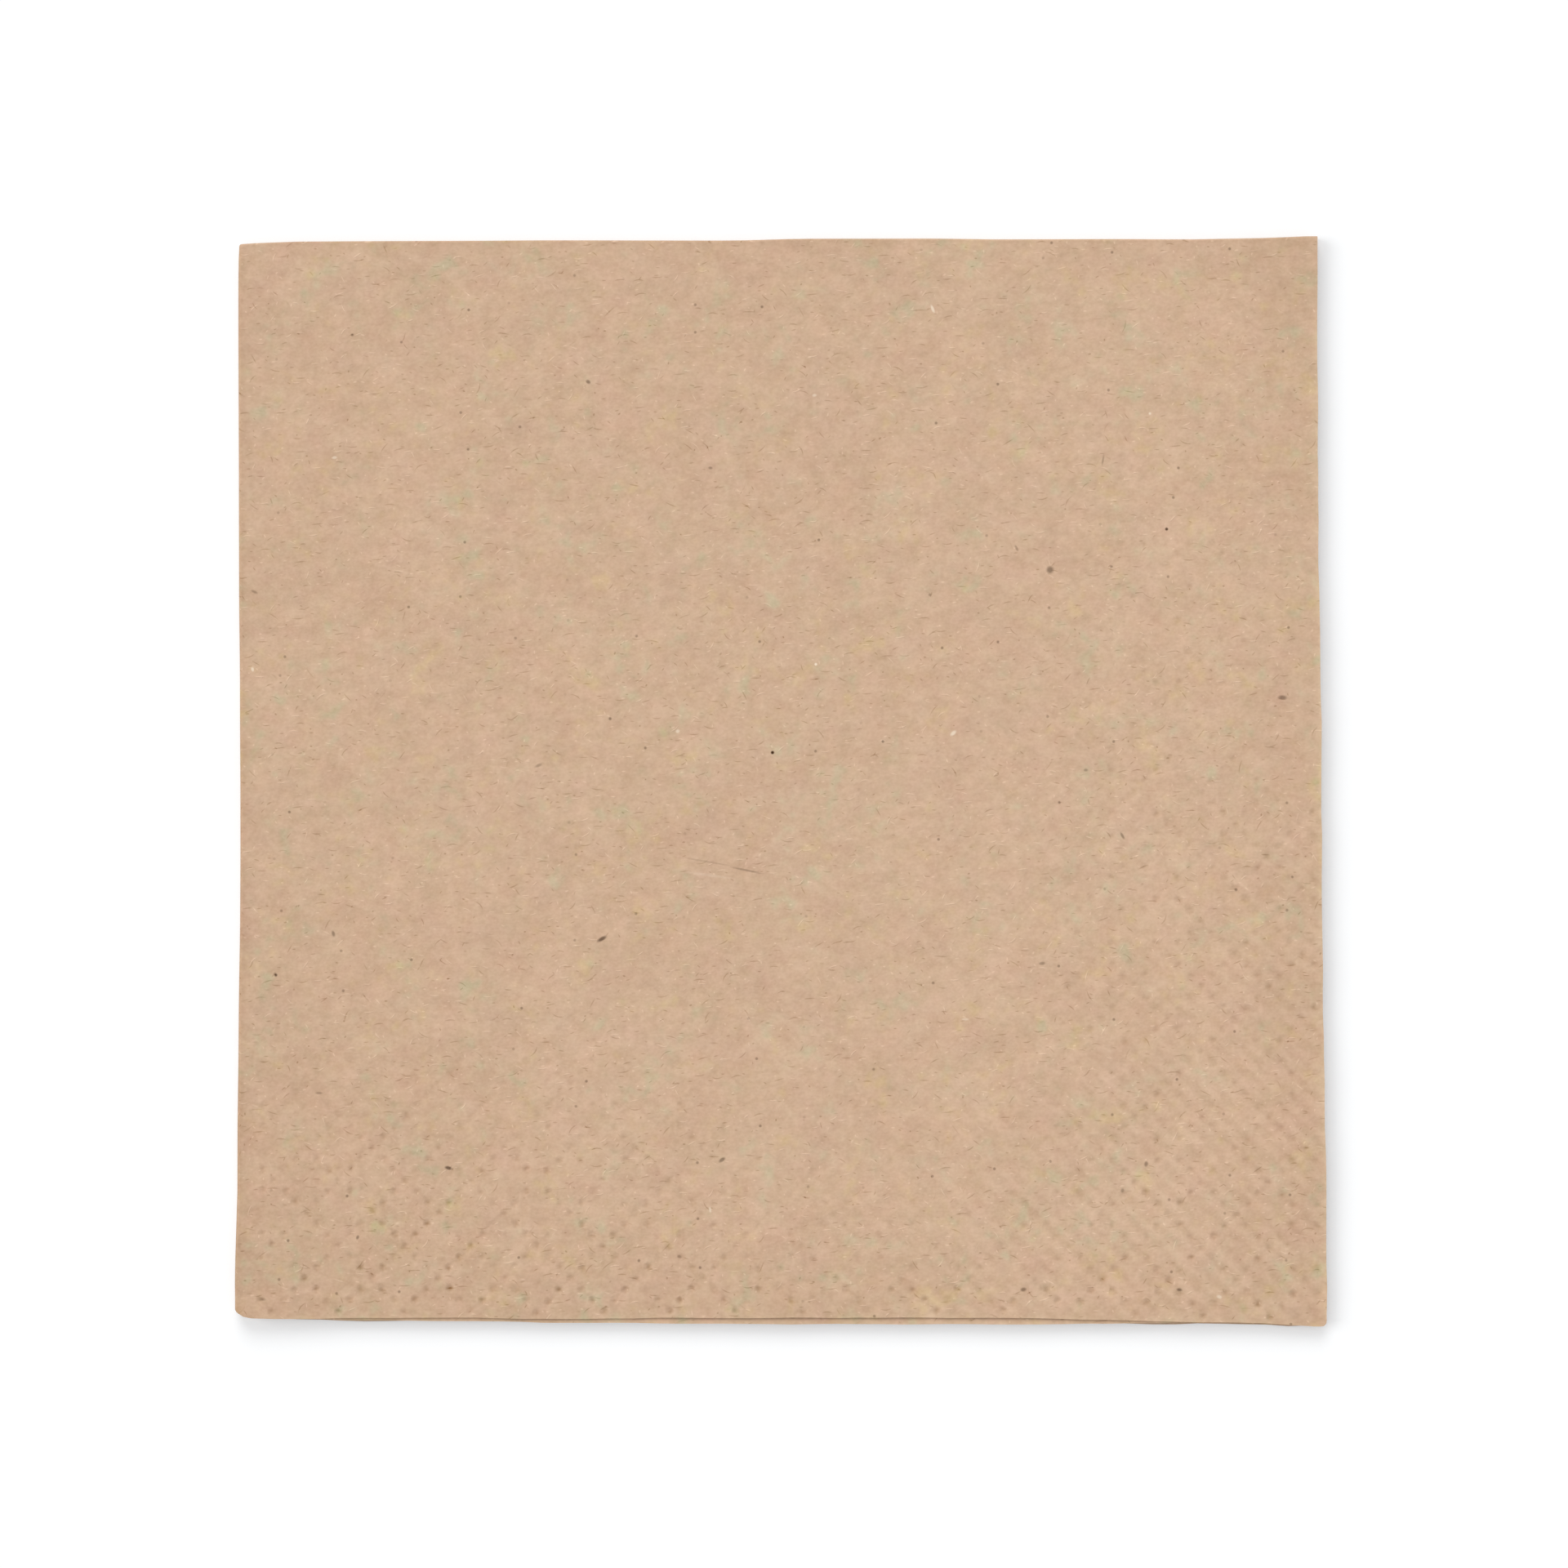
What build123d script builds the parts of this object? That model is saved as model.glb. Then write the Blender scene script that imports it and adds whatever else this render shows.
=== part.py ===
from build123d import *
import os

# A square two-ply paper napkin, folded in half twice and lying flat, with an embossed border.
# Lengths are millimetres. +X runs from the second fold to the cut edges, +Y from the cut edges
# to the first fold, and +Z up from the face that the napkin lies on.

# Folded sheet: its sides, the bonded plies of one leaf, and the air that each fold keeps open
folded_width = 165.0
folded_depth = 164.0
leaf = 0.30
first_gap = 0.20
second_gap = 0.30

# How far each leaf's outer corner reaches past the top one's, from the bottom leaf up: the cut
# edges start flush at the folds and fan out towards that corner
right_reaches = [-0.30, 0.20, 0.30, 0.0]
front_reaches = [0.10, 0.50, 0.40, 0.0]

# Rounded corner where the second fold meets the cut edges
corner_width = 2.6
corner_depth = 1.5

# Embossed border along the cut edges: pits in rows on both diagonals, which cross as diamonds
pit_step_x = 1.68
pit_step_y = 1.64
pits_per_diamond = 3
pit_mouth = 0.85
pit_depth = 0.18
border_width = 42.0
border_length = 108.0
border_rim = 1.0
crossing_from_right = 3.0
crossing_from_front = 6.0

# Heights, worked out from the leaves and the air between them
pair = 2 * leaf + first_gap
stack = 2 * pair + second_gap
middle = stack / 2

# Outline of the top leaf, placed so that the origin is in the middle of all four leaves, and the
# line where the flat leaves pass into the second fold
left = -(folded_width + max(right_reaches)) / 2
right = left + folded_width
back = (folded_depth + max(front_reaches)) / 2
front = back - folded_depth
fold_x = left + middle

# Waste is cut well clear of every edge
waste = 4 * stack

# Profile of two leaves joined by the first fold: a flattened tube, which trimming opens in front
with BuildSketch(Plane.YZ.offset(fold_x)) as pair_profile:
    with Locations(((back + front - waste) / 2, stack - pair / 2)):
        SlotOverall(folded_depth + waste, pair)
        SlotOverall(folded_depth + waste - 2 * leaf, first_gap, mode=Mode.SUBTRACT)

with BuildPart() as sheet:
    # Upper pair and lower pair of leaves, and the second fold, which turns the one into the other
    extrude(pair_profile.sketch, amount=right + waste - fold_x)
    mirror(about=Plane.XY.offset(middle))
    fold_line = Axis((fold_x, 0, middle), (0, -1, 0))
    revolve(pair_profile.sketch, axis=fold_line, revolution_arc=180)

    # Each leaf is trimmed to its own outline, between the middles of the gaps under and over it
    dividers = [-first_gap, leaf + first_gap / 2, middle, stack - leaf - first_gap / 2, stack + first_gap]
    for index, (right_reach, front_reach) in enumerate(zip(right_reaches, front_reaches)):
        low, high = dividers[index], dividers[index + 1]
        with BuildSketch(Plane.XY.offset(low)):
            with Locations((left, back)):
                Rectangle(2 * folded_width, 2 * folded_depth, align=(Align.MIN, Align.MAX))
            outer_corner = (right + right_reach, front - front_reach)
            Polygon((left, back), (left, front), outer_corner, (right, back), align=None, mode=Mode.SUBTRACT)
        extrude(amount=high - low, mode=Mode.SUBTRACT)

    # Rounded corner, through all four leaves
    with BuildSketch():
        with Locations((left, front)):
            Rectangle(corner_width, 2 * corner_depth, align=(Align.MIN, Align.CENTER))
        with Locations((left + corner_width, front + corner_depth)):
            Ellipse(corner_width, corner_depth, mode=Mode.SUBTRACT)
    extrude(amount=stack, mode=Mode.SUBTRACT)

# One pit of the embossing, the shape that a pointed pin leaves in the top leaf
with BuildPart() as pit:
    with BuildSketch(Plane.XY.offset(stack)) as pit_rim:
        Rectangle(pit_mouth, pit_mouth, rotation=45)
    loft(sections=[pit_rim.sketch.face(), Vertex(0, 0, stack - pit_depth)])


def in_border(x, y):
    """Whether a pit at x, y lies in the embossed border, clear of its rims and of the fold."""
    from_right = right - x
    from_front = y - front
    clear = x > left + corner_width and from_right > border_rim and from_front > border_rim
    along_front = from_front < border_width
    along_right = from_right < border_width and from_front < border_length
    return clear and (along_front or along_right)


# Pits sit on the two families of diagonal lines through one crossing near the outer corner
lines = range(-int(folded_width / pit_step_x), int(folded_depth / pit_step_y))
pit_places = []
for along in lines:
    for across in lines:
        x = right - crossing_from_right + (along + across) * pit_step_x
        y = front + crossing_from_front + (along - across) * pit_step_y
        on_a_row = along % pits_per_diamond == 0 or across % pits_per_diamond == 0
        if on_a_row and in_border(x, y):
            pit_places.append(Location((x, y, 0)))

# The embossed face takes the place of the plain one on top: a hole for each pit, and its sides
plain_face = sheet.faces().sort_by(Axis.Z)[-1]
other_faces = sheet.faces().sort_by(Axis.Z)[:-1]
pit_sides = pit.faces().sort_by(Axis.Z)[:-1]
rims = [pit_rim.sketch.face().outer_wire().moved(place) for place in pit_places]
sides = [side.moved(place) for place in pit_places for side in pit_sides]
embossed_face = Face(plain_face.outer_wire(), rims)

with BuildPart() as napkin:
    add(Solid(Shell([embossed_face, *other_faces, *sides])))

napkin.part.label = "napkin"
os.makedirs("parts", exist_ok=True)
export_step(napkin.part, "parts/napkin.step")
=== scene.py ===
import logging
import math
import random
from dataclasses import dataclass, field
from enum import Enum

import bpy
import numpy as np
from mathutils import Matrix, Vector
from mathutils.geometry import delaunay_2d_cdt


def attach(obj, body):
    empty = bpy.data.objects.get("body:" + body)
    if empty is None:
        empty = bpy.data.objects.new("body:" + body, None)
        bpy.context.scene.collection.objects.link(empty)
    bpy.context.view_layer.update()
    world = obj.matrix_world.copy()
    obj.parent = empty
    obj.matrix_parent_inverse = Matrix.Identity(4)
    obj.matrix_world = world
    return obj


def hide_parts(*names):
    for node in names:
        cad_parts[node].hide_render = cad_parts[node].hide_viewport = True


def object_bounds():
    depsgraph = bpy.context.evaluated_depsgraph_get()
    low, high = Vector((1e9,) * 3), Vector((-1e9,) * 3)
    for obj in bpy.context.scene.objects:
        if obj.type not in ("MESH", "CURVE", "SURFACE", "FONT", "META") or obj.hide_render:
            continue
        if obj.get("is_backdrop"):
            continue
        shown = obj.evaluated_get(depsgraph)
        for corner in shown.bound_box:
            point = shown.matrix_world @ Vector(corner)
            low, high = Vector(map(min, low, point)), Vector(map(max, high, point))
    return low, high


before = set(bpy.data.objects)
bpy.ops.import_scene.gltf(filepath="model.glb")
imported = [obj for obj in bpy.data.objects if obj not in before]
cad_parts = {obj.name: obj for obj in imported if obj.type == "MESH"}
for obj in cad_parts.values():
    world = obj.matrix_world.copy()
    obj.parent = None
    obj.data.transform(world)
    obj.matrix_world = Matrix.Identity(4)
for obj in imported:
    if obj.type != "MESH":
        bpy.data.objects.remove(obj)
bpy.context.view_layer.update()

MM = 0.001
TURN = 2 * math.pi
# The middle of a noise or a random value that goes from 0 to 1
MIDDLE = 0.5
# What the mesh says about each of its points, for the material: how deep it is pressed,
# how near a cut rim, and the painted shade along the folds
MARKS = ("pressed", "rim", "painted_fold_shade")

log = logging.getLogger("napkin")


def linear(red: float, green: float, blue: float) -> tuple[float, float, float]:
    """Turn a colour as a screen shows it into the linear values that a shader takes.

    Args:
        red: red, from 0 to 255.
        green: green, from 0 to 255.
        blue: blue, from 0 to 255.

    Returns:
        The three linear values, from 0 to 1.
    """
    return tuple(((c / 255 + 0.055) / 1.055) ** 2.4 for c in (red, green, blue))


def smooth(value: np.ndarray) -> np.ndarray:
    """Ease a value from 0 to 1, flat at both ends."""
    t = np.clip(value, 0.0, 1.0)
    return t * t * (3 - 2 * t)


class Signal:
    """A shader socket that Python arithmetic can build on."""

    def __init__(self, graph: "Graph", socket: bpy.types.NodeSocket) -> None:
        """Wrap a socket of the graph's node tree."""
        self.graph = graph
        self.socket = socket

    def __add__(self, other: "Signal | float") -> "Signal":
        """Add."""
        return self.graph.math("ADD", self, other)

    __radd__ = __add__

    def __sub__(self, other: "Signal | float") -> "Signal":
        """Subtract."""
        return self.graph.math("SUBTRACT", self, other)

    def __rsub__(self, other: "Signal | float") -> "Signal":
        """Subtract this from a number."""
        return self.graph.math("SUBTRACT", other, self)

    def __mul__(self, other: "Signal | float") -> "Signal":
        """Multiply."""
        return self.graph.math("MULTIPLY", self, other)

    __rmul__ = __mul__

    def __truediv__(self, other: "Signal | float") -> "Signal":
        """Divide."""
        return self.graph.math("DIVIDE", self, other)


@dataclass(frozen=True)
class Noise:
    """One noise: its largest features in millimetres, its finer ones, and how far it is drawn out."""

    size: float
    detail: float = 0.0
    roughness: float = 0.5
    squeeze: float = 1.0


class Graph:
    """A node tree, and the few ways in which this script adds to it."""

    def __init__(self, owner: bpy.types.Material | bpy.types.World) -> None:
        """Empty the tree of a material or a world, to build it anew.

        Args:
            owner: the material or the world.
        """
        owner.use_nodes = True
        self.tree = owner.node_tree
        self.tree.nodes.clear()

    def node(self, kind: str, settings: dict | None = None, **inputs: object) -> bpy.types.Node:
        """Add a node.

        Args:
            kind: the node's type, without the ShaderNode in front.
            settings: the node's own properties, set before its sockets.
            inputs: values or links by socket name, with _ for a space, or i0, i1 for a socket's place.

        Returns:
            The node.
        """
        made = self.tree.nodes.new("ShaderNode" + kind)
        for key, value in (settings or {}).items():
            setattr(made, key, value)
        for key, value in inputs.items():
            place = int(key[1:]) if key[1:].isdigit() else key.replace("_", " ")
            if isinstance(value, Signal):
                self.tree.links.new(value.socket, made.inputs[place])
            else:
                made.inputs[place].default_value = value
        return made

    def out(self, made: bpy.types.Node, place: int | str = 0) -> Signal:
        """Take one of a node's outputs as a signal."""
        return Signal(self, made.outputs[place])

    def show(self, shader: bpy.types.Node, output: str = "OutputMaterial") -> None:
        """Lead a shader to a new output node of the tree."""
        self.tree.links.new(shader.outputs[0], self.node(output).inputs["Surface"])

    def math(self, operation: str, first: Signal | float, second: Signal | float = 0.0) -> Signal:
        """Add a Math node for one or two operands."""
        return self.out(self.node("Math", {"operation": operation}, i0=first, i1=second))

    def vector(self, operation: str, **inputs: object) -> Signal:
        """Add a Vector Math node."""
        return self.out(self.node("VectorMath", {"operation": operation}, **inputs))

    def parts(self, kind: str, whole: Signal) -> list[Signal]:
        """Take a vector, kind XYZ, or a colour, kind Color, apart into its three parts."""
        made = self.node("Separate" + kind, None, i0=whole)
        return [self.out(made, part) for part in range(3)]

    def window(self, value: Signal, low: float, high: float, top: float = 1.0) -> Signal:
        """Change smoothly from 0 at one value to the top at another.

        Args:
            value: the value to follow.
            low: where the change starts.
            high: where it ends, which may be below its start.
            top: what it ends at.

        Returns:
            The change, 0 before its start and the top past its end.
        """
        if high < low:
            return top - self.window(value, high, low, top)
        span = {"interpolation_type": "SMOOTHSTEP", "clamp": True}
        return self.out(self.node("MapRange", span, Value=value, From_Min=low, From_Max=high, To_Max=top))

    def noise(self, place: Signal, noise: Noise, output: str = "Fac") -> Signal:
        """Add noise.

        Args:
            place: the place on the sheet, in millimetres.
            noise: what the noise is like.
            output: the node's output to take.

        Returns:
            The noise, from 0 to 1.
        """
        squeezed = self.vector("MULTIPLY", i0=place, i1=Vector((noise.squeeze, 1.0, 1.0)))
        texture = self.node("TexNoise", None, Vector=squeezed, Scale=1 / noise.size,
                            Detail=noise.detail, Roughness=noise.roughness)
        return self.out(texture, output)

    def cells(self, place: Signal, apart: float) -> bpy.types.Node:
        """Scatter points over the sheet, a distance apart on average, each with the cell round it."""
        flat = {"voronoi_dimensions": "2D"}
        return self.node("TexVoronoi", flat, Vector=place, Scale=1 / apart, Randomness=1.0)

    def mix(self, factor: Signal, first: object, second: object) -> Signal:
        """Mix two colours by a factor."""
        made = self.node("Mix", {"data_type": "RGBA"}, i0=factor, i6=first, i7=second)
        return self.out(made, 2)


@dataclass(frozen=True)
class Speck:
    """A fleck or a long fibre that can be picked out by eye, in millimetres on the top leaf."""

    x: float
    y: float
    radius: float
    strength: float
    stretch: float = 1.0
    turn: float = 0.0


DARK_SPECKS = (
    Speck(41.50, 31.76, 0.74, 0.52),
    Speck(-26.76, -24.27, 0.40, 0.68, 2.7, 0.52),
    Speck(76.57, 12.21, 0.44, 0.52, 2.0, -0.05),
    Speck(-50.17, -59.09, 0.38, 0.70, 2.0, -0.24),
    Speck(-8.46, -57.79, 0.38, 0.55, 2.0, 0.63),
    Speck(55.76, -58.31, 0.40, 0.45, 1.4, 1.40),
    Speck(37.18, -77.26, 0.40, 0.48, 1.5, 0.21),
    Speck(-0.74, 4.06, 0.36, 0.95),
    Speck(-36.46, 2.18, 0.32, 0.34, 2.5, 0.42),
    Speck(-78.45, -79.03, 0.34, 0.30, 2.1, 0.05),
    Speck(-67.86, -23.46, 0.35, 0.46, 1.8, -1.30),
    Speck(-28.90, 60.85, 0.40, 0.52, 1.3, -0.60),
    Speck(59.20, 37.89, 0.34, 0.80),
    Speck(40.14, -28.01, 0.34, 0.38, 1.9, 0.12),
    Speck(60.68, -77.22, 0.31, 0.56, 1.8, -0.14),
    Speck(52.17, -62.31, 0.36, 0.34, 1.2, 1.50),
    Speck(-80.15, 28.88, 0.28, 0.34, 2.6, -0.44),
    Speck(-76.66, -29.76, 0.33, 0.72),
    Speck(52.34, -8.68, 0.27, 0.44, 3.0, -1.06),
    Speck(-63.98, -69.63, 0.31, 0.50, 1.5, 1.17),
    Speck(-14.93, -72.44, 0.33, 0.36, 1.35, -0.50),
    Speck(49.58, 48.44, 0.21, 0.32, 5.0, 1.40),
    Speck(-70.01, -47.74, 0.26, 0.34, 2.8, 0.0),
    Speck(-25.51, 9.28, 0.32, 0.50),
    Speck(46.83, 1.29, 0.31, 0.36, 1.4, 0.0),
    Speck(-10.19, 47.55, 0.30, 0.40, 1.4, -0.14),
    Speck(69.45, -16.87, 0.32, 0.50),
    Speck(36.43, 35.08, 0.26, 0.34, 2.7, -1.10),
    Speck(-10.60, -12.55, 0.20, 0.17, 25.0, -0.17),
    Speck(-4.70, -13.85, 0.22, 0.34, 14.0, -0.20),
)

LIGHT_SPECKS = (
    Speck(26.76, 6.95, 0.38, 0.60, 1.9, 0.70),
    Speck(23.75, 71.71, 0.29, 0.60, 3.0, -1.19),
    Speck(66.66, -78.26, 0.38, 0.45, 1.4, -0.35),
    Speck(-15.19, 7.35, 0.36, 0.48, 1.2, 0.40),
    Speck(-80.40, 17.00, 0.30, 0.60, 1.5, -1.27),
    Speck(-67.84, 49.43, 0.30, 0.45, 1.7, 0.10),
    Speck(28.50, -36.48, 0.27, 0.30, 2.6, 0.07),
    Speck(-10.26, -65.34, 0.25, 0.42, 2.2, -1.50),
    Speck(5.70, 58.58, 0.30, 0.40, 1.5, 0.10),
    Speck(5.87, 17.50, 0.28, 0.80),
    Speck(56.73, 55.51, 0.28, 0.55),
    Speck(-10.40, -14.60, 0.30, 0.12, 16.0, -0.14),
)


@dataclass(frozen=True)
class Fibres:
    """One kind of short fibre, scattered over the tissue. Lengths are millimetres.

    The shift moves the pattern, so that no two kinds lie alike. A fibre fades from its core to its
    end, both shares of its size.
    """

    apart: float
    length: float
    width: float
    share: float
    strength: float
    shift: tuple[float, float]
    spread: float = 1.2
    sway: float = 0.3
    bend: float = 0.35
    shortest: float = 0.45
    core: float = 0.45
    end: float = 1.25


DARK_FIBRES = (
    Fibres(apart=2.9, length=1.05, width=0.095, share=0.62, strength=0.245, shift=(3.1, 5.27)),
    Fibres(apart=1.7, length=0.45, width=0.090, share=0.50, strength=0.252, shift=(8.7, 14.79)),
    Fibres(apart=4.1, length=0.26, width=0.130, share=0.45, strength=0.30, shift=(14.2, 24.14),
           spread=3.0),
)

LIGHT_FIBRES = (
    Fibres(apart=2.7, length=0.85, width=0.100, share=0.58, strength=0.196, shift=(21.5, 36.55)),
    Fibres(apart=1.8, length=0.34, width=0.115, share=0.50, strength=0.196, shift=(27.9, 47.43),
           spread=3.0),
)


@dataclass(frozen=True)
class Shade:
    """A broad, faint change of light over the leaf, towards one side or one corner.

    It follows the place across times its first number plus the place along times its second, from
    its start to its end in millimetres, where the light has changed by the full amount.
    """

    across: float
    along: float
    start: float
    end: float
    change: float


SHADES = (
    Shade(1, 0, 12, 28, 0.018),
    Shade(1, 0, 62, 78, -0.036),
    Shade(1, 1, -60, -150, -0.046),
    Shade(1, 1, 110, 160, -0.016),
    Shade(1, -1, 60, 110, -0.015),
    Shade(0, 1, -58, -80, -0.028),
    Shade(0, 1, 58, 80, -0.012),
)


@dataclass(frozen=True)
class KraftTissue:
    """Unbleached tissue: soft brown, matt and uneven, with short fibres and dark flecks.

    Places and sizes on the sheet are millimetres. The tints are shares of the paper's colour.
    """

    name: str = "kraft_tissue"
    paper: tuple[float, float, float] = linear(206.1, 174.4, 146.5)
    # The cut rims' colour: lighter partly as torn fibres and partly as a painted highlight
    rim: tuple[float, float, float] = linear(218, 189, 158)
    fleck: tuple[float, float, float] = linear(66, 42, 22)
    pale: tuple[float, float, float] = linear(245, 228, 205)
    roughness: float = 0.94
    gloss: float = 0.12

    # What a change of brightness, and a green or yellow patch, does to red, green and blue
    even: tuple[float, float, float] = (0.889, 1.036, 1.216)
    greenish: tuple[float, float, float] = (-0.137, 0.123, 0.046)
    yellowish: tuple[float, float, float] = (0.029, 0.083, -0.132)
    hues: Noise = Noise(5.5, 2.0, 0.85)
    green_amounts: tuple[float, float] = (0.62, 0.45)
    yellow_amounts: tuple[float, float] = (0.60, 0.46)
    patch_edge: tuple[float, float] = (0.58, 0.76)

    # The paper's clouds and grain; the pits' darkening, partly denser pressed fibres and partly
    # painted shade; and painted shade along the folds
    clouds: Noise = Noise(12.4, 1.0, 1.0)
    cloud_shade: float = 0.10
    grain: Noise = Noise(2.8, 3.0, 1.0, 0.8)
    grain_shade: float = 0.55
    ragged: Noise = Noise(0.6, squeeze=0.5)
    raggedness: float = 3.4
    pit_fibres_and_painted_shade: float = 0.168
    painted_fold_shade_strength: float = 0.20

    # The embossing's rows, with painted shade on them and painted light between them
    painted_ridge_shade: float = 0.028
    ridge_step: tuple[float, float] = (1.68, 1.64)
    ridge_start: tuple[float, float] = (79.35, -75.75)
    ridge_reach: tuple[float, float] = (60, 118)

    # The specks that are placed one by one, and the scattered chips, whose edge is a share of their
    # spacing
    speck_size: float = 0.9
    speck_edge: tuple[float, float] = (1.15, 0.35)
    speck_depth: float = 1.1
    speck_height: float = 1e6
    chip_apart: float = 9.0
    chip_edge: tuple[float, float] = (0.012, 0.034)
    chip_chance: tuple[float, float] = (0.45, 0.95)
    chip_shade: float = 0.5

    # The fibres, and the relief of grain and fibres, in metres
    slant: tuple[float, float] = (1.0, 0.7)
    fibre_cut: float = 0.35
    fibre_shuffle: float = 7.31
    grain_relief: float = 0.08 * MM
    fibre_relief: float = 0.14 * MM

    def fibres(self, graph: Graph, place: Signal, kind: Fibres) -> Signal:
        """Scatter one kind of fibre, each with its own direction, length and bend.

        Args:
            graph: the material's tree.
            place: the place on the sheet.
            kind: what the fibres are like.

        Returns:
            A mask, as strong as the fibres at their middles and 0 between them.
        """
        moved = graph.vector("ADD", i0=place, i1=Vector((*kind.shift, 0.0)))
        cells = graph.cells(moved, kind.apart)
        x, y, _ = graph.parts("XYZ", graph.vector("SUBTRACT", i0=moved, i1=graph.out(cells, "Position")))
        first, second, third = graph.parts("Color", graph.out(cells, "Color"))
        side = (first - MIDDLE) * 2
        turn = side * side * side * kind.spread + (second - MIDDLE) * kind.sway
        cosine, sine = graph.math("COSINE", turn), graph.math("SINE", turn)
        along = x * cosine + y * sine
        off = y * cosine - x * sine + along * along * (third - MIDDLE) * (2 * kind.bend)
        stretched = along / ((second * (1 - kind.shortest) + kind.shortest) * kind.length)
        squeezed = off / kind.width
        length = graph.math("SQRT", stretched * stretched + squeezed * squeezed)
        chance = graph.math("FRACT", third * self.fibre_shuffle)
        kept = graph.window(chance, 1 - kind.share, 1 - kind.share + self.fibre_cut)
        return (1 - graph.window(length, kind.core, kind.end)) * kept * kind.strength

    def specks(self, graph: Graph, place: Signal, specks: tuple[Speck, ...]) -> Signal:
        """Place the specks that can be picked out one by one.

        Args:
            graph: the material's tree.
            place: the place on the sheet.
            specks: the specks to place.

        Returns:
            A mask, as strong as each speck at its middle.
        """
        total: Signal | float = 0.0
        for speck in specks:
            width = speck.radius * self.speck_size
            local = graph.node("Mapping", {"vector_type": "TEXTURE"}, Vector=place,
                               Location=Vector((speck.x, speck.y, 0.0)),
                               Rotation=Vector((0.0, 0.0, speck.turn)),
                               Scale=Vector((width * speck.stretch, width, self.speck_height)))
            length = graph.node("VectorMath", {"operation": "LENGTH"}, i0=graph.out(local))
            top = self.speck_depth * speck.strength
            total = total + graph.window(graph.out(length, "Value"), *self.speck_edge, top)
        return total

    def chips(self, graph: Graph, place: Signal) -> Signal:
        """Scatter small dark chips, some fainter than others.

        Args:
            graph: the material's tree.
            place: the place on the sheet.

        Returns:
            A mask, 0 between the chips.
        """
        cells = graph.cells(place, self.chip_apart)
        chance = graph.parts("Color", graph.out(cells, "Color"))[0]
        chip = 1 - graph.window(graph.out(cells, "Distance"), *self.chip_edge)
        return chip * graph.window(chance, *self.chip_chance) * self.chip_shade

    def ridges(self, graph: Graph, place: Signal) -> Signal:
        """Paint the embossing's rows as slanting ridges of shade and light towards the loose corner.

        Args:
            graph: the material's tree.
            place: the place on the sheet.

        Returns:
            A value above 0 in the rows and below it between them.
        """
        x, y, _ = graph.parts("XYZ", place)
        across = (x - self.ridge_start[0]) / (2 * self.ridge_step[0])
        along = (y - self.ridge_start[1]) / (2 * self.ridge_step[1])
        return graph.math("COSINE", (across + along) * TURN) * graph.window(x - y, *self.ridge_reach)

    def painted_light_falloff(self, graph: Graph, place: Signal) -> Signal:
        """Paint broad, faint light and shade over the top leaf.

        Args:
            graph: the material's tree.
            place: the place on the sheet.

        Returns:
            A small value, above 0 where the leaf is lighter.
        """
        x, y, _ = graph.parts("XYZ", place)
        total: Signal | float = 0.0
        for shade in SHADES:
            run = x * shade.across + y * shade.along
            total = total + graph.window(run, shade.start, shade.end) * shade.change
        return total

    def patches(self, graph: Graph, noise: Signal, calm: float, strong: float) -> Signal:
        """Turn noise into a faint change everywhere, with a stronger patch here and there.

        Args:
            graph: the material's tree.
            noise: the noise, from 0 to 1.
            calm: how strong the change is everywhere.
            strong: how much stronger it grows in the patches.

        Returns:
            The change, small on average.
        """
        return (noise - MIDDLE) * calm + graph.window(noise, *self.patch_edge, strong)

    def tinted(self, graph: Graph, place: Signal, base: Signal, brightness: Signal) -> Signal:
        """Vary a colour by its brightness and by faint green and yellow patches.

        Args:
            graph: the material's tree.
            place: the place on the sheet.
            base: the colour to vary.
            brightness: how much lighter it is, as a share.

        Returns:
            The varied colour.
        """
        first, second, _ = graph.parts("Color", graph.noise(place, self.hues, "Color"))
        changes = (
            (self.even, brightness),
            (self.greenish, self.patches(graph, first, *self.green_amounts)),
            (self.yellowish, self.patches(graph, second, *self.yellow_amounts)),
        )
        one, two, three = (
            graph.vector("SCALE", i0=Vector(tint), Scale=amount) for tint, amount in changes
        )
        change = graph.vector("ADD", i0=graph.vector("ADD", i0=one, i1=two), i1=three)
        return graph.vector("MULTIPLY_ADD", i0=base, i1=change, i2=base)

    def build(self) -> bpy.types.Material:
        """Build the material.

        Returns:
            The material, which reads object coordinates and the sheet's own attributes.
        """
        material = bpy.data.materials.new(self.name)
        graph = Graph(material)
        metres = graph.out(graph.node("TexCoord"), "Object")
        place = graph.vector("SCALE", i0=metres, Scale=1 / MM)
        # Fibres and chips move aside with height, so that the folds' sides don't draw them out
        height = graph.parts("XYZ", place)[2]
        aside = graph.vector("SCALE", i0=Vector((*self.slant, 0.0)), Scale=height)
        wrapped = graph.vector("ADD", i0=place, i1=aside)
        pressed, rim, painted_fold_shade = (
            graph.out(graph.node("Attribute", {"attribute_name": mark}), "Fac") for mark in MARKS
        )

        clouds = graph.noise(place, self.clouds) - MIDDLE
        grain = graph.noise(place, self.grain) - MIDDLE
        ragged = (graph.noise(place, self.ragged) - MIDDLE) * self.raggedness + 1.0
        dark = sum(self.fibres(graph, wrapped, kind) for kind in DARK_FIBRES)
        raised, short = (self.fibres(graph, wrapped, kind) for kind in LIGHT_FIBRES)
        brightness = (
            clouds * self.cloud_shade
            + grain * self.grain_shade
            - dark
            + (raised + short)
            # Pits: darker partly as denser fibres and partly as painted shade, with a painted light ring
            - pressed * ragged * self.pit_fibres_and_painted_shade
            # Painted shade and light of the embossing's rows
            - self.ridges(graph, place) * self.painted_ridge_shade
            # Painted shade along the folds
            - painted_fold_shade * self.painted_fold_shade_strength
            # Broad painted light and shade over the leaf
            + self.painted_light_falloff(graph, place)
        )

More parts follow.
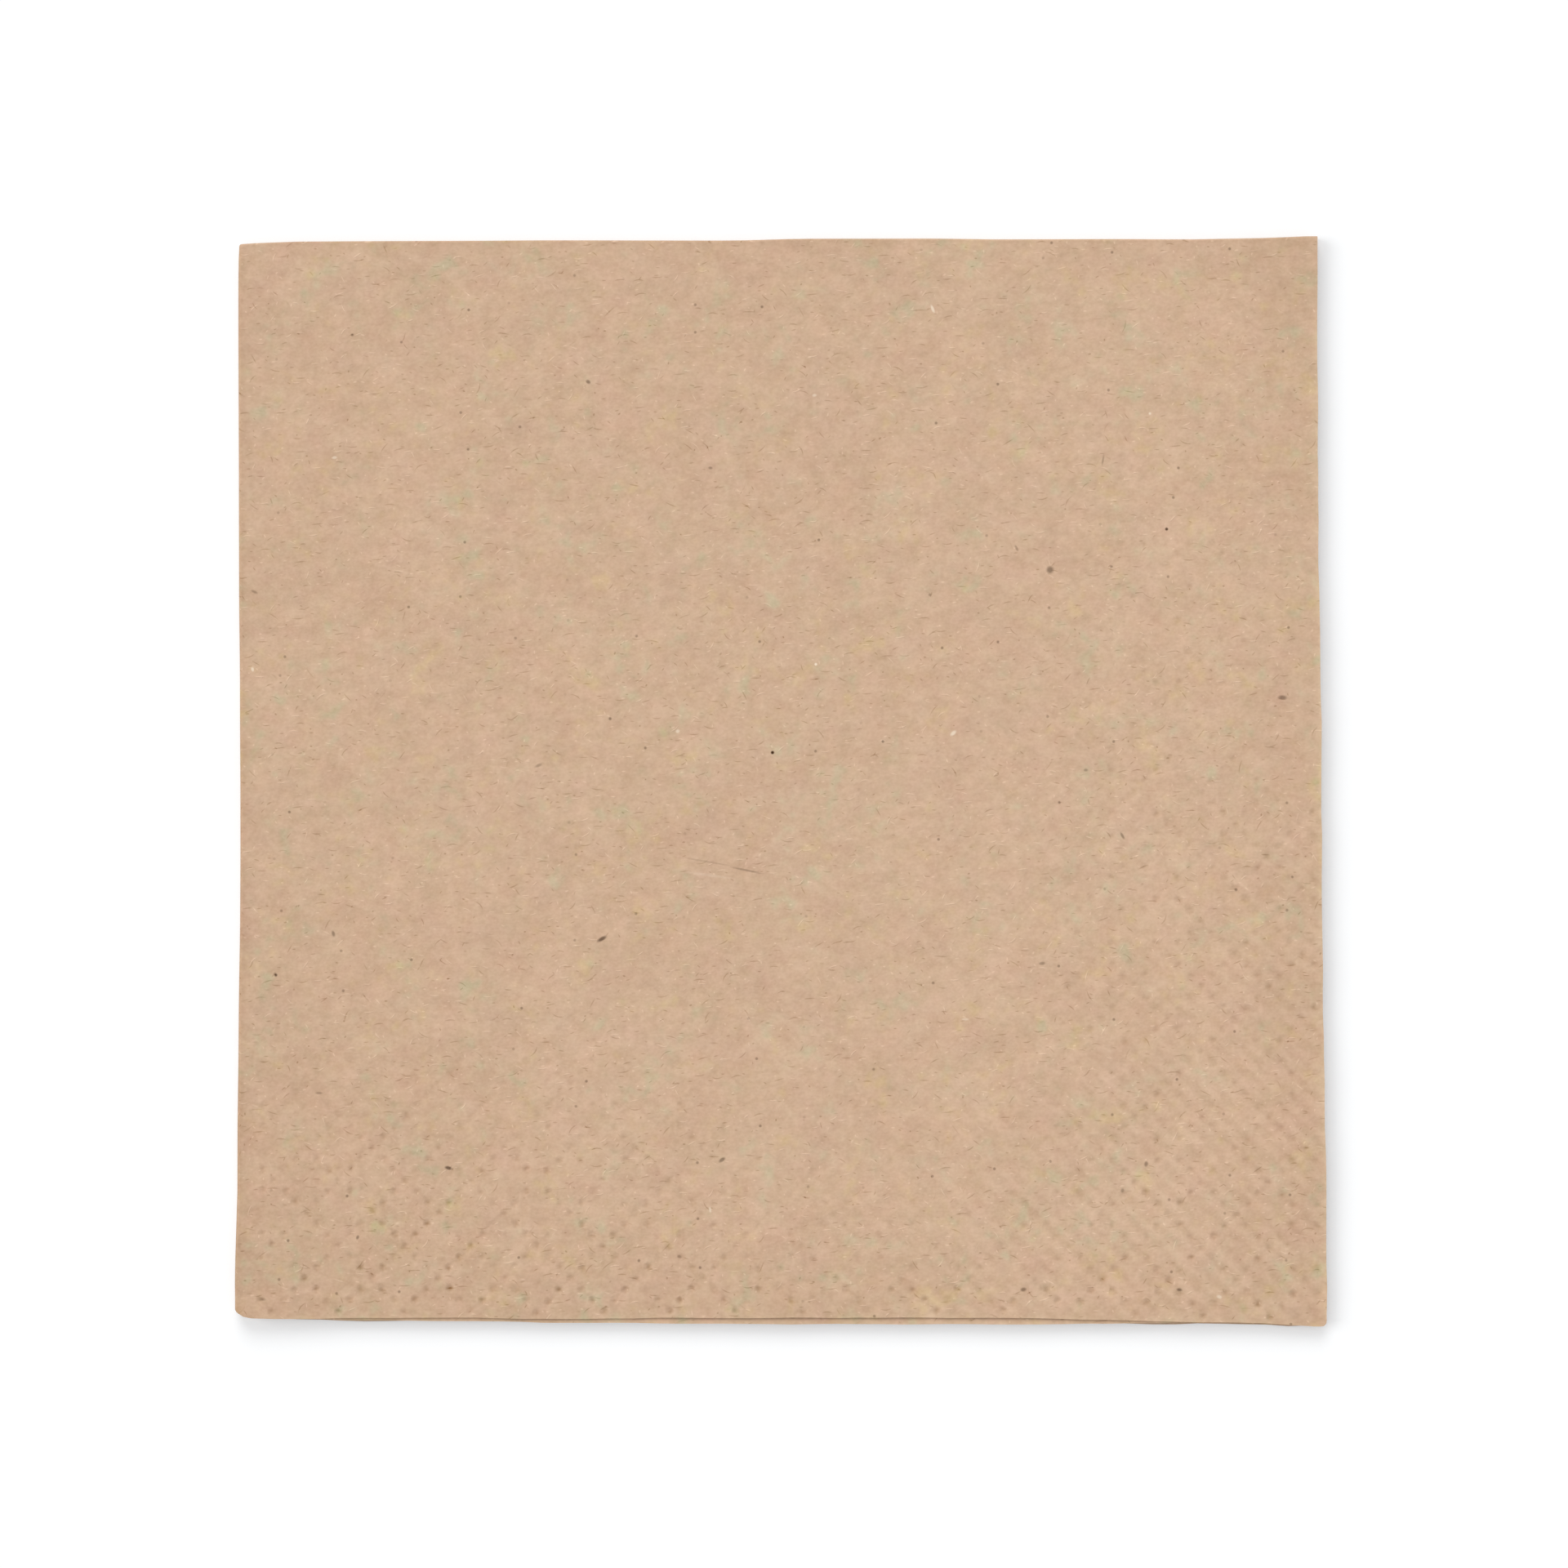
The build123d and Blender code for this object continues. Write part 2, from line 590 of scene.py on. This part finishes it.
        # Lighter towards the cut rims, partly torn fibres and partly a painted highlight
        edged = graph.mix(rim, (*self.paper, 1), (*self.rim, 1))
        shaded = self.tinted(graph, place, edged, brightness)
        flecks = self.chips(graph, wrapped) + self.specks(graph, place, DARK_SPECKS)
        flecked = graph.mix(flecks, shaded, (*self.fleck, 1))
        colour = graph.mix(self.specks(graph, place, LIGHT_SPECKS), flecked, (*self.pale, 1))

        relief = grain * self.grain_relief + raised * self.fibre_relief
        bump = graph.node("Bump", None, Strength=1.0, Distance=1.0, Height=relief)
        surface = graph.node("BsdfPrincipled", None, Base_Color=colour, Normal=graph.out(bump),
                             Roughness=self.roughness, Specular_IOR_Level=self.gloss)
        graph.show(surface)
        return material


class Side(Enum):
    """A side of the folded napkin."""

    LEFT = "second fold"
    BACK = "first fold"
    RIGHT = "cut edges across"
    FRONT = "cut edges along"


Profile = tuple[tuple[float, float], ...]
Rings = tuple[tuple[float, int, float], ...]

# How far each side's outline stands out from the straight: place along it and amount, in millimetres
OUTLINES: dict[Side, Profile] = {
    Side.LEFT: ((-81, 0.14), (-75, 0.2), (-70, 0.08), (-63, -0.08), (-53, -0.04), (-43, -0.14),
                (-33, -0.18), (-23, -0.32), (-10, -0.35), (0, -0.32), (7, -0.24), (17, -0.17),
                (27, -0.02), (47, 0.06), (67, 0.2), (79, 0.25), (82, 0.12)),
    Side.RIGHT: ((-80, 0.45), (-62, 0.47), (-53, 0.36), (-43, 0.22), (-33, 0.12), (-23, 0.04),
                 (-3, 0.02), (6, 0.08), (16, -0.02), (26, -0.14), (36, -0.26), (56, -0.24),
                 (66, -0.27), (77, -0.2), (82, -0.16)),
    Side.BACK: ((-82, 0.24), (-80, 0.36), (-74, 0.55), (-57, 0.5), (-36, 0.46), (-16, 0.3),
                (-6, 0.22), (3.6, 0.43), (24, 0.31), (33, 0.11), (53, 0.02), (63, -0.12),
                (75, -0.02), (80, 0.18)),
    Side.FRONT: ((-81, 0.15), (-66, 0.45), (-56, 0.55), (-46, 0.55), (-36, 0.75), (-20, 0.8),
                 (-6, 0.88), (13, 0.84), (23, 0.82), (43, 0.77), (53, 0.57), (66, 0.42),
                 (74, 0.48), (80, 0.92)),
}

# How far the second leaf shows past the top one at the two cut sides
REVEALS: dict[Side, Profile] = {
    Side.RIGHT: ((-80, 0.0), (80, 0.0)),
    Side.FRONT: ((-74, 0.0), (-66, 0.3), (-57, 0.5), (-31, 0.58), (-18, 0.86), (6, 1.0),
                 (31, 1.02), (42, 0.9), (51, 0.5), (58, 0.26), (66, 0.06), (72, 0.0)),
}

# How far the third leaf shows past the others, down in their shade
UNDERLAPS: dict[Side, Profile] = {
    Side.RIGHT: ((-80, 0.0), (80, 0.0)),
    Side.FRONT: ((-79, 0.0), (-76, 0.2), (-60, 0.2), (-54, 0.0), (48, 0.0), (58, 0.3),
                 (78, 0.3), (81, 0.0)),
}

# How deep the border is pressed along it and across it, as shares
FRONT_ALONG: Profile = ((-80, 1.0), (-45, 1.0), (-30, 1.05), (-15, 0.85), (0, 0.5), (15, 0.32),
                        (30, 0.36), (45, 0.55), (60, 0.9), (75, 0.7))
FRONT_INWARD: Profile = ((-78, 1.1), (-73, 0.95), (-67, 0.95), (-61, 0.7), (-55, 0.6), (-49, 0.42),
                         (-43, 0.3), (-37, 0.18), (-32, 0.0))
RIM_ALONG: Profile = ((-80, 0.95), (-60, 1.1), (-45, 0.95), (-30, 1.1), (0, 0.9), (15, 0.82),
                      (30, 0.95), (60, 1.1), (80, 0.9))
RIM_INWARD: Profile = ((-77, 1.0), (-74, 0.3), (-71, 0.0))
RIGHT_ALONG: Profile = ((-52, 0.6), (-45, 0.42), (-37, 0.55), (-9, 0.6), (3, 0.42), (39, 0.36),
                        (51, 0.28), (63, 0.12), (75, 0.0))
RIGHT_INWARD: Profile = ((36, 0.0), (40, 0.5), (50, 0.85), (60, 1.0), (82, 0.95))

# The rings of points of a pit in the top leaf, and of its plainer dent in the lowest leaf, from the
# middle outwards: radius as a share of the pit's, number of points, depth as a share of the pit's
BOWL: Rings = ((0.0, 1, 1.0), (0.36, 6, 0.66), (0.68, 6, 0.12), (1.0, 6, -0.16))
DENT: Rings = ((0.0, 1, 1.0), (1.0, 5, 0.0))

# How many leaves the folded sheet has, which are counted from the top
LEAVES = 4


def near(distance: np.ndarray, reach: float) -> np.ndarray:
    """Say how near something is, from 1 at no distance to 0 at its reach."""
    return smooth(1 - distance / reach)


def profile(place: np.ndarray, points: Profile) -> np.ndarray:
    """Read a profile at places given in metres.

    Args:
        place: the places, in metres.
        points: the profile's points, in millimetres.

    Returns:
        The profile's values, in its own unit.
    """
    at, value = zip(*points)
    return np.interp(place / MM, at, value)


@dataclass(frozen=True)
class Fade:
    """How something dies away with the distance from an edge: its strength there, and its reach."""

    strength: float
    reach: float

    def at(self, distance: np.ndarray) -> np.ndarray:
        """Give what is left at a distance."""
        return self.strength * np.exp(-distance / self.reach)


@dataclass
class FoldedSheet:
    """The napkin's one sheet, folded in half twice, with its embossed border. Lengths are metres.

    A place on the open sheet is across, from the second fold, and along, from the first fold. Both
    are positive on the top leaf.
    """

    # The leaves, the folds, and how far inside the frame's box the straight cut edges are
    leaf: float = 0.30 * MM
    ply: float = 0.26 * MM
    first_gap: float = 0.20 * MM
    second_gap: float = 0.30 * MM
    fold_sharpness: float = 0.62
    fold_slack: float = 0.03 * MM
    front_reach: float = 0.50 * MM
    right_reach: float = 0.30 * MM

    # The grid that the open sheet is meshed with
    spacing: float = 3.4 * MM
    fold_steps: int = 4
    fold_lines: tuple[float, float] = (0.8 * MM, 2.0 * MM)
    edge_lines: tuple[float, float, float] = (1.8 * MM, 0.9 * MM, 0.4 * MM)

    # The embossed border and its pits
    step: tuple[float, float] = (1.68 * MM, 1.64 * MM)
    crossing: tuple[float, float] = (3.0 * MM, 6.0 * MM)
    rows_apart: int = 3
    border_rim: float = 1.0 * MM
    corner_clear: float = 3.12 * MM
    faint_strip: tuple[float, float] = (71 * MM, 0.0)
    faint_share: float = 0.25
    faintest_pit: float = 0.06
    pit_spread: tuple[float, float] = (0.5, 1.4)
    pit_radius: float = 0.88 * MM
    pit_clear: float = 1.1 * MM
    pit_depth: float = 0.14 * MM
    pit_wander: float = 0.14 * MM
    edge_clear: float = 0.1 * MM
    same_place: float = 1e-9
    chunks: int = 8
    merge_distance: float = 1e-5 * MM

    # The gentle waves over the napkin, and the small ones of its torn edges
    waves: int = 26
    wave_lengths: tuple[float, float] = (11 * MM, 60 * MM)
    wave_slope: float = 0.0042
    wave_shares: tuple[float, float] = (0.3, 1.0)
    wave_dip: float = 0.12 * MM
    tear_lengths: tuple[float, ...] = (17 * MM, 9.5 * MM, 6.1 * MM, 4.3 * MM)
    tear_slope: float = 0.0028
    tear_shares: tuple[float, float] = (0.5, 1.0)

    # How far inwards the shape of each side and corner reaches, and the second leaf's lift there
    straight_reach: float = 12 * MM
    cut_reach: float = 9 * MM
    fold_reach: float = 22 * MM
    worn_corner: tuple[float, float] = (2.6 * MM, 2.1 * MM)
    worn_reach: float = 6 * MM
    blunt_corner: float = 0.5 * MM
    pinch: float = 0.31 * MM
    pinch_reach: float = 2.2 * MM

    # How the leaves' cut edges lie over one another
    shown: float = 0.12 * MM
    tucked: float = 0.16 * MM
    third_back: float = 0.14 * MM
    fourth_back: float = 0.42 * MM

    # How far the leaves stand open towards the cut edges and the worn corner
    open_share: float = 0.28
    open_reach: tuple[float, float] = (30 * MM, 26 * MM)
    corner_share: float = 0.30
    corner_reach: tuple[float, float] = (20 * MM, 30 * MM)

    # The cut rims, lighter partly as torn fibres and partly as a painted highlight, the folds'
    # painted shade, the thickness at a rim, and the shading
    right_rim: Fade = Fade(1.0, 0.6 * MM)
    front_rim: Fade = Fade(0.5, 0.4 * MM)
    left_crease: Fade = Fade(1.0, 0.6 * MM)
    back_crease: Fade = Fade(0.4, 0.45 * MM)
    crease_share: float = 0.5
    rim_thickness: float = 0.32
    thinnest_rim: float = 0.01
    sharp_angle: float = math.radians(50)

    # The seeds of the random draws
    pit_seed: int = 7
    wave_seed: int = 8
    tear_seed: int = 17
    rng: random.Random = field(init=False)

    def __post_init__(self) -> None:
        """Work out the folds' places from the frame."""
        low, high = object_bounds()
        self.rng = random.Random(self.pit_seed)
        self.left, self.back = low[0], high[1]
        self.right = high[0] - self.right_reach
        self.front = low[1] + self.front_reach
        self.first_radius = (self.first_gap + self.leaf) / 2
        self.second_radius = (self.second_gap + self.first_gap) / 2 + self.leaf
        self.middle = self.second_radius + self.first_radius + self.leaf / 2
        self.fold_x = self.left + self.middle * self.fold_sharpness + self.fold_slack
        self.fold_y = self.back - self.first_radius - self.leaf / 2
        self.first_bend = self.first_radius * math.pi / 2
        self.second_bend = self.second_radius * math.pi / 2
        self.across_edge = self.right - self.fold_x + self.second_bend
        self.along_edge = self.fold_y - self.front + self.first_bend

    def lines(self, bend: float, edge: float) -> list[float]:
        """Place the grid lines of one direction, closer at the fold and at the cut edges.

        Args:
            bend: how far the fold's curve reaches from its middle.
            edge: how far the cut edge is from the fold's middle.

        Returns:
            The lines' places, in order, from one cut edge to the other.
        """
        half = [bend * turn / self.fold_steps for turn in range(1, self.fold_steps + 1)]
        half += [bend + place for place in self.fold_lines]
        start, end = half[-1], edge - self.edge_lines[0]
        half += list(np.linspace(start, end, round((end - start) / self.spacing) + 1)[1:])
        half += [edge - place for place in self.edge_lines[1:]] + [edge]
        return [-place for place in reversed(half)] + [0.0] + half

    def pit_strength(self, x: float, y: float) -> float:
        """Say how deep a pit is at a place on a leaf, as a share of the usual depth.

        Args:
            x: the place across the folded napkin.
            y: the place along it.

        Returns:
            A share, 0 outside the border.
        """
        if min(self.right - x, y - self.front) < self.border_rim or x < self.left + self.corner_clear:
            return 0.0
        front = float(profile(x, FRONT_ALONG) * profile(y, FRONT_INWARD))
        front = max(front, float(profile(x, RIM_ALONG) * profile(y, RIM_INWARD)))
        right = float(profile(x, RIGHT_INWARD) * profile(y, RIGHT_ALONG))
        if x > self.faint_strip[0] and y > self.faint_strip[1]:
            right *= self.faint_share
        return max(front, right) * self.rng.uniform(*self.pit_spread)

    def pits(self) -> np.ndarray:
        """List the embossed pits of one leaf.

        Returns:
            Each pit's place on the folded napkin, x and y, and its strength.
        """
        found = []
        reach = int((self.right - self.left) / self.step[0])
        for row in range(-reach, reach):
            for other in range(-reach, reach):
                if row % self.rows_apart and other % self.rows_apart:
                    continue
                x = self.right - self.crossing[0] + (row + other) * self.step[0]
                y = self.front + self.crossing[1] + (row - other) * self.step[1]
                if not (self.left < x < self.right and self.front < y < self.back):
                    continue
                strength = self.pit_strength(x, y)
                if strength > self.faintest_pit:
                    wander = [self.rng.uniform(-1, 1) * self.pit_wander for _ in range(2)]
                    found.append((x + wander[0], y + wander[1], strength))
        return np.array(found)

    def within(self, points: np.ndarray, clear: float) -> np.ndarray:
        """Say which points of the open sheet are inside its four edges, and clear of them."""
        size = np.array([self.across_edge, self.along_edge])
        return np.all(np.abs(points) < size - clear, axis=1)

    def flat_points(self) -> tuple[np.ndarray, np.ndarray]:
        """Scatter the mesh's points over the open sheet: a grid, and rings for each pit.

        Returns:
            The points, and how deep each is pressed, as a share.
        """
        across = self.lines(self.second_bend, self.across_edge)
        along = self.lines(self.first_bend, self.along_edge)
        grid = np.array([(s, t) for t in along for s in across])
        x, y, strength = self.pits().T
        pit_across = x - self.fold_x + self.second_bend
        pit_along = self.fold_y - y + self.first_bend
        points, pressed, centres = [], [], []
        for side, rings in ((1, BOWL), (-1, DENT)):
            centre = np.stack([side * pit_across, pit_along], 1)
            centres.append(centre)
            # Every second ring is turned by half a step
            for ring, (radius, count, depth) in enumerate(rings):
                for index in range(count):
                    angle = TURN * (index + 0.5 * (ring % 2)) / count
                    offset = self.pit_radius * radius * np.array([math.cos(angle), math.sin(angle)])
                    points.append(centre + offset)
                    pressed.append(strength * depth)
        rings, shares = np.concatenate(points), np.concatenate(pressed)
        inside = self.within(rings, self.edge_clear)
        rings, shares = rings[inside], shares[inside]

        middles = np.concatenate(centres)
        gap = np.concatenate([
            np.min(np.hypot(*(part[:, None] - middles).T), axis=0)
            for part in np.array_split(grid, self.chunks)
        ])
        grid = grid[(gap > self.pit_clear) | ~self.within(grid, self.same_place)]
        return np.concatenate([grid, rings]), np.concatenate([np.zeros(len(grid)), shares])

    def ripple(self, x: np.ndarray, y: np.ndarray) -> np.ndarray:
        """Sum gentle waves over the napkin.

        Args:
            x: places across it.
            y: places along it.

        Returns:
            The height of the waves, in metres.
        """
        rng = random.Random(self.wave_seed)
        height = np.zeros_like(x)
        for _ in range(self.waves):
            length = rng.uniform(*self.wave_lengths)
            angle, start = rng.uniform(0, math.pi), rng.uniform(0, TURN)
            slope = rng.uniform(*self.wave_shares) * self.wave_slope
            run = (x * math.cos(angle) + y * math.sin(angle)) * TURN / length
            height += slope * length / TURN * np.sin(run + start)
        return height

    def edge_wave(self, place: np.ndarray, edge: int) -> np.ndarray:
        """Give a cut edge the small waviness of torn tissue.

        Args:
            place: places along the edge.
            edge: the edge's number, so that no two are alike.

        Returns:
            How far the edge wanders, in metres.
        """
        rng = random.Random(self.tear_seed + edge)
        wave = np.zeros_like(place)
        for length in self.tear_lengths:
            height = rng.uniform(*self.tear_shares) * self.tear_slope * length
            wave += height * np.sin(place * TURN / length + rng.uniform(0, TURN))
        return wave

    def plain_shift(self, side: Side, place: np.ndarray) -> np.ndarray:
        """Read how far a side's outline stands out, in metres."""
        return profile(place, OUTLINES[side]) * MM

    def cut_shift(self, side: Side, place: np.ndarray, leaf: np.ndarray) -> np.ndarray:
        """Say how far each leaf's cut edge stands out at a place.

        Args:
            side: the side with the cut edges.
            place: the places along it.
            leaf: which leaf each is on, from 0 at the top.

        Returns:
            How far the edge stands out from the straight, in metres.
        """
        outer = self.plain_shift(side, place)
        reveal = profile(place, REVEALS[side]) * MM
        hidden = near(reveal, self.shown) * self.tucked
        peek = profile(place, UNDERLAPS[side]) * MM
        third = np.where(peek > 0, outer + peek, outer - self.third_back - hidden)
        levels = (outer - reveal, outer - hidden, third, outer - self.fourth_back - hidden)
        first = 0 if side is Side.RIGHT else LEAVES
        edges = [level + self.edge_wave(place, first + index) for index, level in enumerate(levels)]
        return np.select([leaf == index for index in range(LEAVES)], edges)

    def loft(self, x: np.ndarray, y: np.ndarray) -> np.ndarray:
        """Say how far the leaves stand open at a place.

        Args:
            x: places across the napkin.
            y: places along it.

        Returns:
            How much higher the stack is there, as a share of its height.
        """
        to_left, to_right, to_front = x - self.left, self.right - x, y - self.front
        edges = np.maximum(near(to_right, self.open_reach[0]), near(to_front, self.open_reach[1]))
        corner = near(to_left, self.corner_reach[0]) * near(to_front, self.corner_reach[1])
        waves = np.maximum(self.ripple(x, y), -self.wave_dip) / (2 * self.middle)
        return self.open_share * edges + self.corner_share * corner + waves

    def bend(self, across: np.ndarray, along: np.ndarray) -> tuple[np.ndarray, np.ndarray, np.ndarray]:
        """Fold places of the open sheet twice, evenly and with straight edges.

        Args:
            across: places across the open sheet.
            along: places along it.

        Returns:
            The folded places, x, y and z.
        """
        turn = np.clip(along / self.first_radius, -math.pi / 2, math.pi / 2)
        height = self.second_radius + self.first_radius * np.sin(turn)
        y = self.fold_y + self.first_radius * np.cos(turn) - np.maximum(np.abs(along) - self.first_bend, 0)
        swing = np.clip(across / self.second_radius, -math.pi / 2, math.pi / 2)
        past = np.maximum(np.abs(across) - self.second_bend, 0)
        x = self.fold_x - height * np.cos(swing) * self.fold_sharpness + past
        return x, y, self.middle + height * np.sin(swing)

    def fold(self, flat: np.ndarray, pressed: np.ndarray) -> tuple[np.ndarray, np.ndarray, np.ndarray]:
        """Fold points of the open sheet into the napkin.

        Args:
            flat: the points, across and along.
            pressed: how deep each is pressed, as a share.

        Returns:
            The folded points, and how far each belongs to a cut rim and to a fold, as shares.
        """
        across, along = flat.T
        x, y, z = self.bend(across, along)
        leaf = np.select([(across > 0) & (along > 0), across > 0, along <= 0], [0, 1, 2], LEAVES - 1)
        to_right = self.across_edge - np.abs(across)
        to_front = self.along_edge - np.abs(along)
        down = smooth((np.abs(along) - self.first_bend) / self.straight_reach)
        over = smooth((np.abs(across) - self.second_bend) / self.straight_reach)

        right = self.cut_shift(Side.RIGHT, y, leaf) * down + self.plain_shift(Side.RIGHT, y) * (1 - down)
        front = self.cut_shift(Side.FRONT, x, leaf) * over + self.plain_shift(Side.FRONT, x) * (1 - over)
        left, back = self.plain_shift(Side.LEFT, y), self.plain_shift(Side.BACK, x)
        at_left = near(x - self.left, self.fold_reach)
        at_back = near(self.back - y, self.fold_reach)
        new_x = x + right * near(to_right, self.cut_reach) - left * at_left
        new_y = y - front * near(to_front, self.cut_reach) + back * at_back

        width, depth = self.worn_corner
        worn = np.clip(1 - (x - self.left) / width, 0, 1)
        new_y += near(to_front, self.worn_reach) * depth * (1 - np.sqrt(1 - worn ** 2))
        blunt = np.maximum(self.blunt_corner - to_right - to_front, 0) / 2
        new_x -= blunt
        new_y += blunt

        pinched = np.maximum(near(to_right, self.pinch_reach) * down,
                             near(to_front, self.pinch_reach) * over)
        z *= 1 + self.loft(x, y)
        z += np.where(leaf == 1, self.pinch * pinched, 0.0)
        z += np.where(across > 0, -1.0, 1.0) * pressed * self.pit_depth

        # Cut rims are thinner, and lighter partly as torn fibres and partly as a painted highlight
        rim = np.maximum(self.right_rim.at(to_right) * down, self.front_rim.at(to_front) * over)
        # How near a point is to a fold, for the painted shade along the folds
        to_left = np.maximum(np.abs(across) - self.crease_share * self.second_bend, 0)
        to_back = np.maximum(np.abs(along) - self.crease_share * self.first_bend, 0)
        painted_fold_shade = np.maximum(self.left_crease.at(to_left), self.back_crease.at(to_back))
        return np.stack([new_x, new_y, z], 1), rim, painted_fold_shade

    def build(self) -> bpy.types.Object:
        """Mesh the open sheet, fold it and give it its thickness.

        Returns:
            The finished piece.
        """
        flat, pressed = self.flat_points()
        coords = [Vector(point) for point in (flat / MM).tolist()]
        _, _, faces, origin, _, _ = delaunay_2d_cdt(coords, [], [], 0, self.merge_distance / MM, True)
        source = np.array([ids[0] for ids in origin])
        flat, pressed = flat[source], pressed[source]
        folded, rim, painted_fold_shade = self.fold(flat, pressed)

        mesh = bpy.data.meshes.new("napkin_sheet")
        mesh.from_pydata(folded.tolist(), [], faces)
        for mark, values in zip(MARKS, (pressed, rim, painted_fold_shade)):
            mesh.attributes.new(mark, "FLOAT", "POINT").data.foreach_set("value", values)
        piece = bpy.data.objects.new("napkin_sheet", mesh)
        bpy.context.collection.objects.link(piece)
        bpy.ops.object.select_all(action="DESELECT")
        piece.select_set(True)
        bpy.context.view_layer.objects.active = piece
        self.thicken(piece, rim)
        triangles = sum(len(face.vertices) - 2 for face in piece.data.polygons)
        log.info("%s: %d triangles", piece.name, triangles)
        return piece

    def thicken(self, piece: bpy.types.Object, rim: np.ndarray) -> None:
        """Give the sheet its thickness, less towards the cut rims, and smooth its shading.

        Args:
            piece: the folded sheet, selected and active.
            rim: how far each point belongs to a cut rim, as a share.
        """
        torn = piece.vertex_groups.new(name="torn")
        for index in np.nonzero(rim > self.thinnest_rim)[0]:
            torn.add([int(index)], float(rim[index]), "REPLACE")
        shell = piece.modifiers.new("thickness", "SOLIDIFY")
        shell.thickness = self.ply
        shell.offset = 0.0
        shell.vertex_group = torn.name
        shell.invert_vertex_group = True
        shell.thickness_vertex_group = self.rim_thickness
        bpy.ops.object.modifier_apply(modifier=shell.name)
        bpy.ops.object.shade_smooth_by_angle(angle=self.sharp_angle)
        even = piece.modifiers.new("even_shading", "WEIGHTED_NORMAL")
        even.keep_sharp = True
        bpy.ops.object.modifier_apply(modifier=even.name)

    def flat_size(self) -> tuple[float, float]:
        """Give the open sheet's width and length, along the middle of its thickness."""
        return 2 * self.across_edge, 2 * self.along_edge


@dataclass
class Studio:
    """The pale floor, the soft light from the left and the back, and the camera overhead."""

    floor_size: float = 3.0
    floor_colour: float = 0.9
    floor_seen: float = 0.756
    floor_glow: tuple[float, float, float] = (0.265, 0.275, 0.285)
    sky: float = 0.50
    backdrop: float = 1.0
    keys: tuple[float, float] = (0.238, 0.262)
    key_bearings: tuple[float, float] = (math.radians(172), math.radians(98))
    key_elevation: float = math.radians(38)
    key_softness: float = math.radians(38)
    distance: float = 0.600
    aim: tuple[float, float, float] = (1.01 * MM, -0.73 * MM, 2.0 * MM)
    tilt: tuple[float, float, float] = (1.659, 2.152, -0.05)
    lens: float = 90.55

    def seen(self, graph: Graph) -> Signal:
        """Say whether a ray shows the backdrop straight, in a reflection or through glass.

        Args:
            graph: the tree of the backdrop's material or of the world.

        Returns:
            1 where it does, and 0 for the light that falls on the object.
        """
        path = graph.node("LightPath")
        straight, mirrored, through = (
            graph.out(path, f"Is {kind} Ray") for kind in ("Camera", "Glossy", "Transmission")
        )
        return graph.math("MAXIMUM", graph.math("MAXIMUM", straight, mirrored), through)

    def floor(self) -> bpy.types.Object:
        """Lay the floor, white to the camera apart from the shadow on it.

        Returns:
            The floor.
        """
        bpy.ops.mesh.primitive_plane_add(size=self.floor_size)
        floor = bpy.context.object
        floor.name = "floor"
        material = bpy.data.materials.new("pale_floor")
        graph = Graph(material)
        plain, shown = (
            graph.out(graph.node("BsdfDiffuse", None, Color=(grey, grey, grey, 1)))
            for grey in (self.floor_colour, self.floor_seen)
        )
        glow = graph.out(graph.node("Emission", None, Color=(*self.floor_glow, 1), Strength=1.0))
        both = graph.out(graph.node("AddShader", None, i0=shown, i1=glow))
        graph.show(graph.node("MixShader", None, i0=self.seen(graph), i1=plain, i2=both))
        floor.data.materials.append(material)
        floor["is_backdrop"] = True
        return floor

    def world(self) -> None:
        """Light the scene evenly from all round, with white behind it."""
        world = bpy.data.worlds.new("studio")
        bpy.context.scene.world = world
        graph = Graph(world)
        light, white = (
            graph.out(graph.node("Background", None, Color=(1, 1, 1, 1), Strength=strength))
            for strength in (self.sky, self.backdrop)
        )
        mix = graph.node("MixShader", None, i0=self.seen(graph), i1=light, i2=white)
        graph.show(mix, "OutputWorld")

    def lamps(self) -> None:
        """Hang the two soft key lights, one at the left and one at the back."""
        flat, up = math.cos(self.key_elevation), math.sin(self.key_elevation)
        for strength, bearing in zip(self.keys, self.key_bearings):
            towards = Vector((flat * math.cos(bearing), flat * math.sin(bearing), up))
            bpy.ops.object.light_add(type="SUN", location=towards)
            sun = bpy.context.object
            sun.rotation_euler = towards.to_track_quat("Z", "Y").to_euler()
            sun.data.energy = strength * math.pi / up
            sun.data.angle = self.key_softness

    def camera(self) -> None:
        """Place the camera over the napkin, a little off the upright as in the photograph."""
        bpy.ops.object.camera_add()
        camera = bpy.context.object
        camera.rotation_euler = [math.radians(angle) for angle in self.tilt]
        back = camera.rotation_euler.to_matrix() @ Vector((0, 0, self.distance))
        camera.location = Vector(self.aim) + back
        camera.data.lens = self.lens
        bpy.context.scene.camera = camera

    def build(self) -> None:
        """Set up the floor, the light and the camera."""
        bpy.context.scene.view_settings.view_transform = "Standard"
        self.floor()
        self.world()
        self.lamps()
        self.camera()


def main() -> None:
    """Build the napkin and the studio round it, and say what each piece is."""
    logging.basicConfig(level=logging.INFO)
    bpy.ops.object.select_all(action="DESELECT")
    Studio().build()
    sheet = FoldedSheet()
    piece = sheet.build()
    piece.data.materials.append(KraftTissue().build())
    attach(piece, "root")
    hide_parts("napkin")
    sheet.flat_size()
    log.info("%s: %s on the floor", piece.name, piece.data.materials[0].name)


if __name__ == "__main__":
    main()
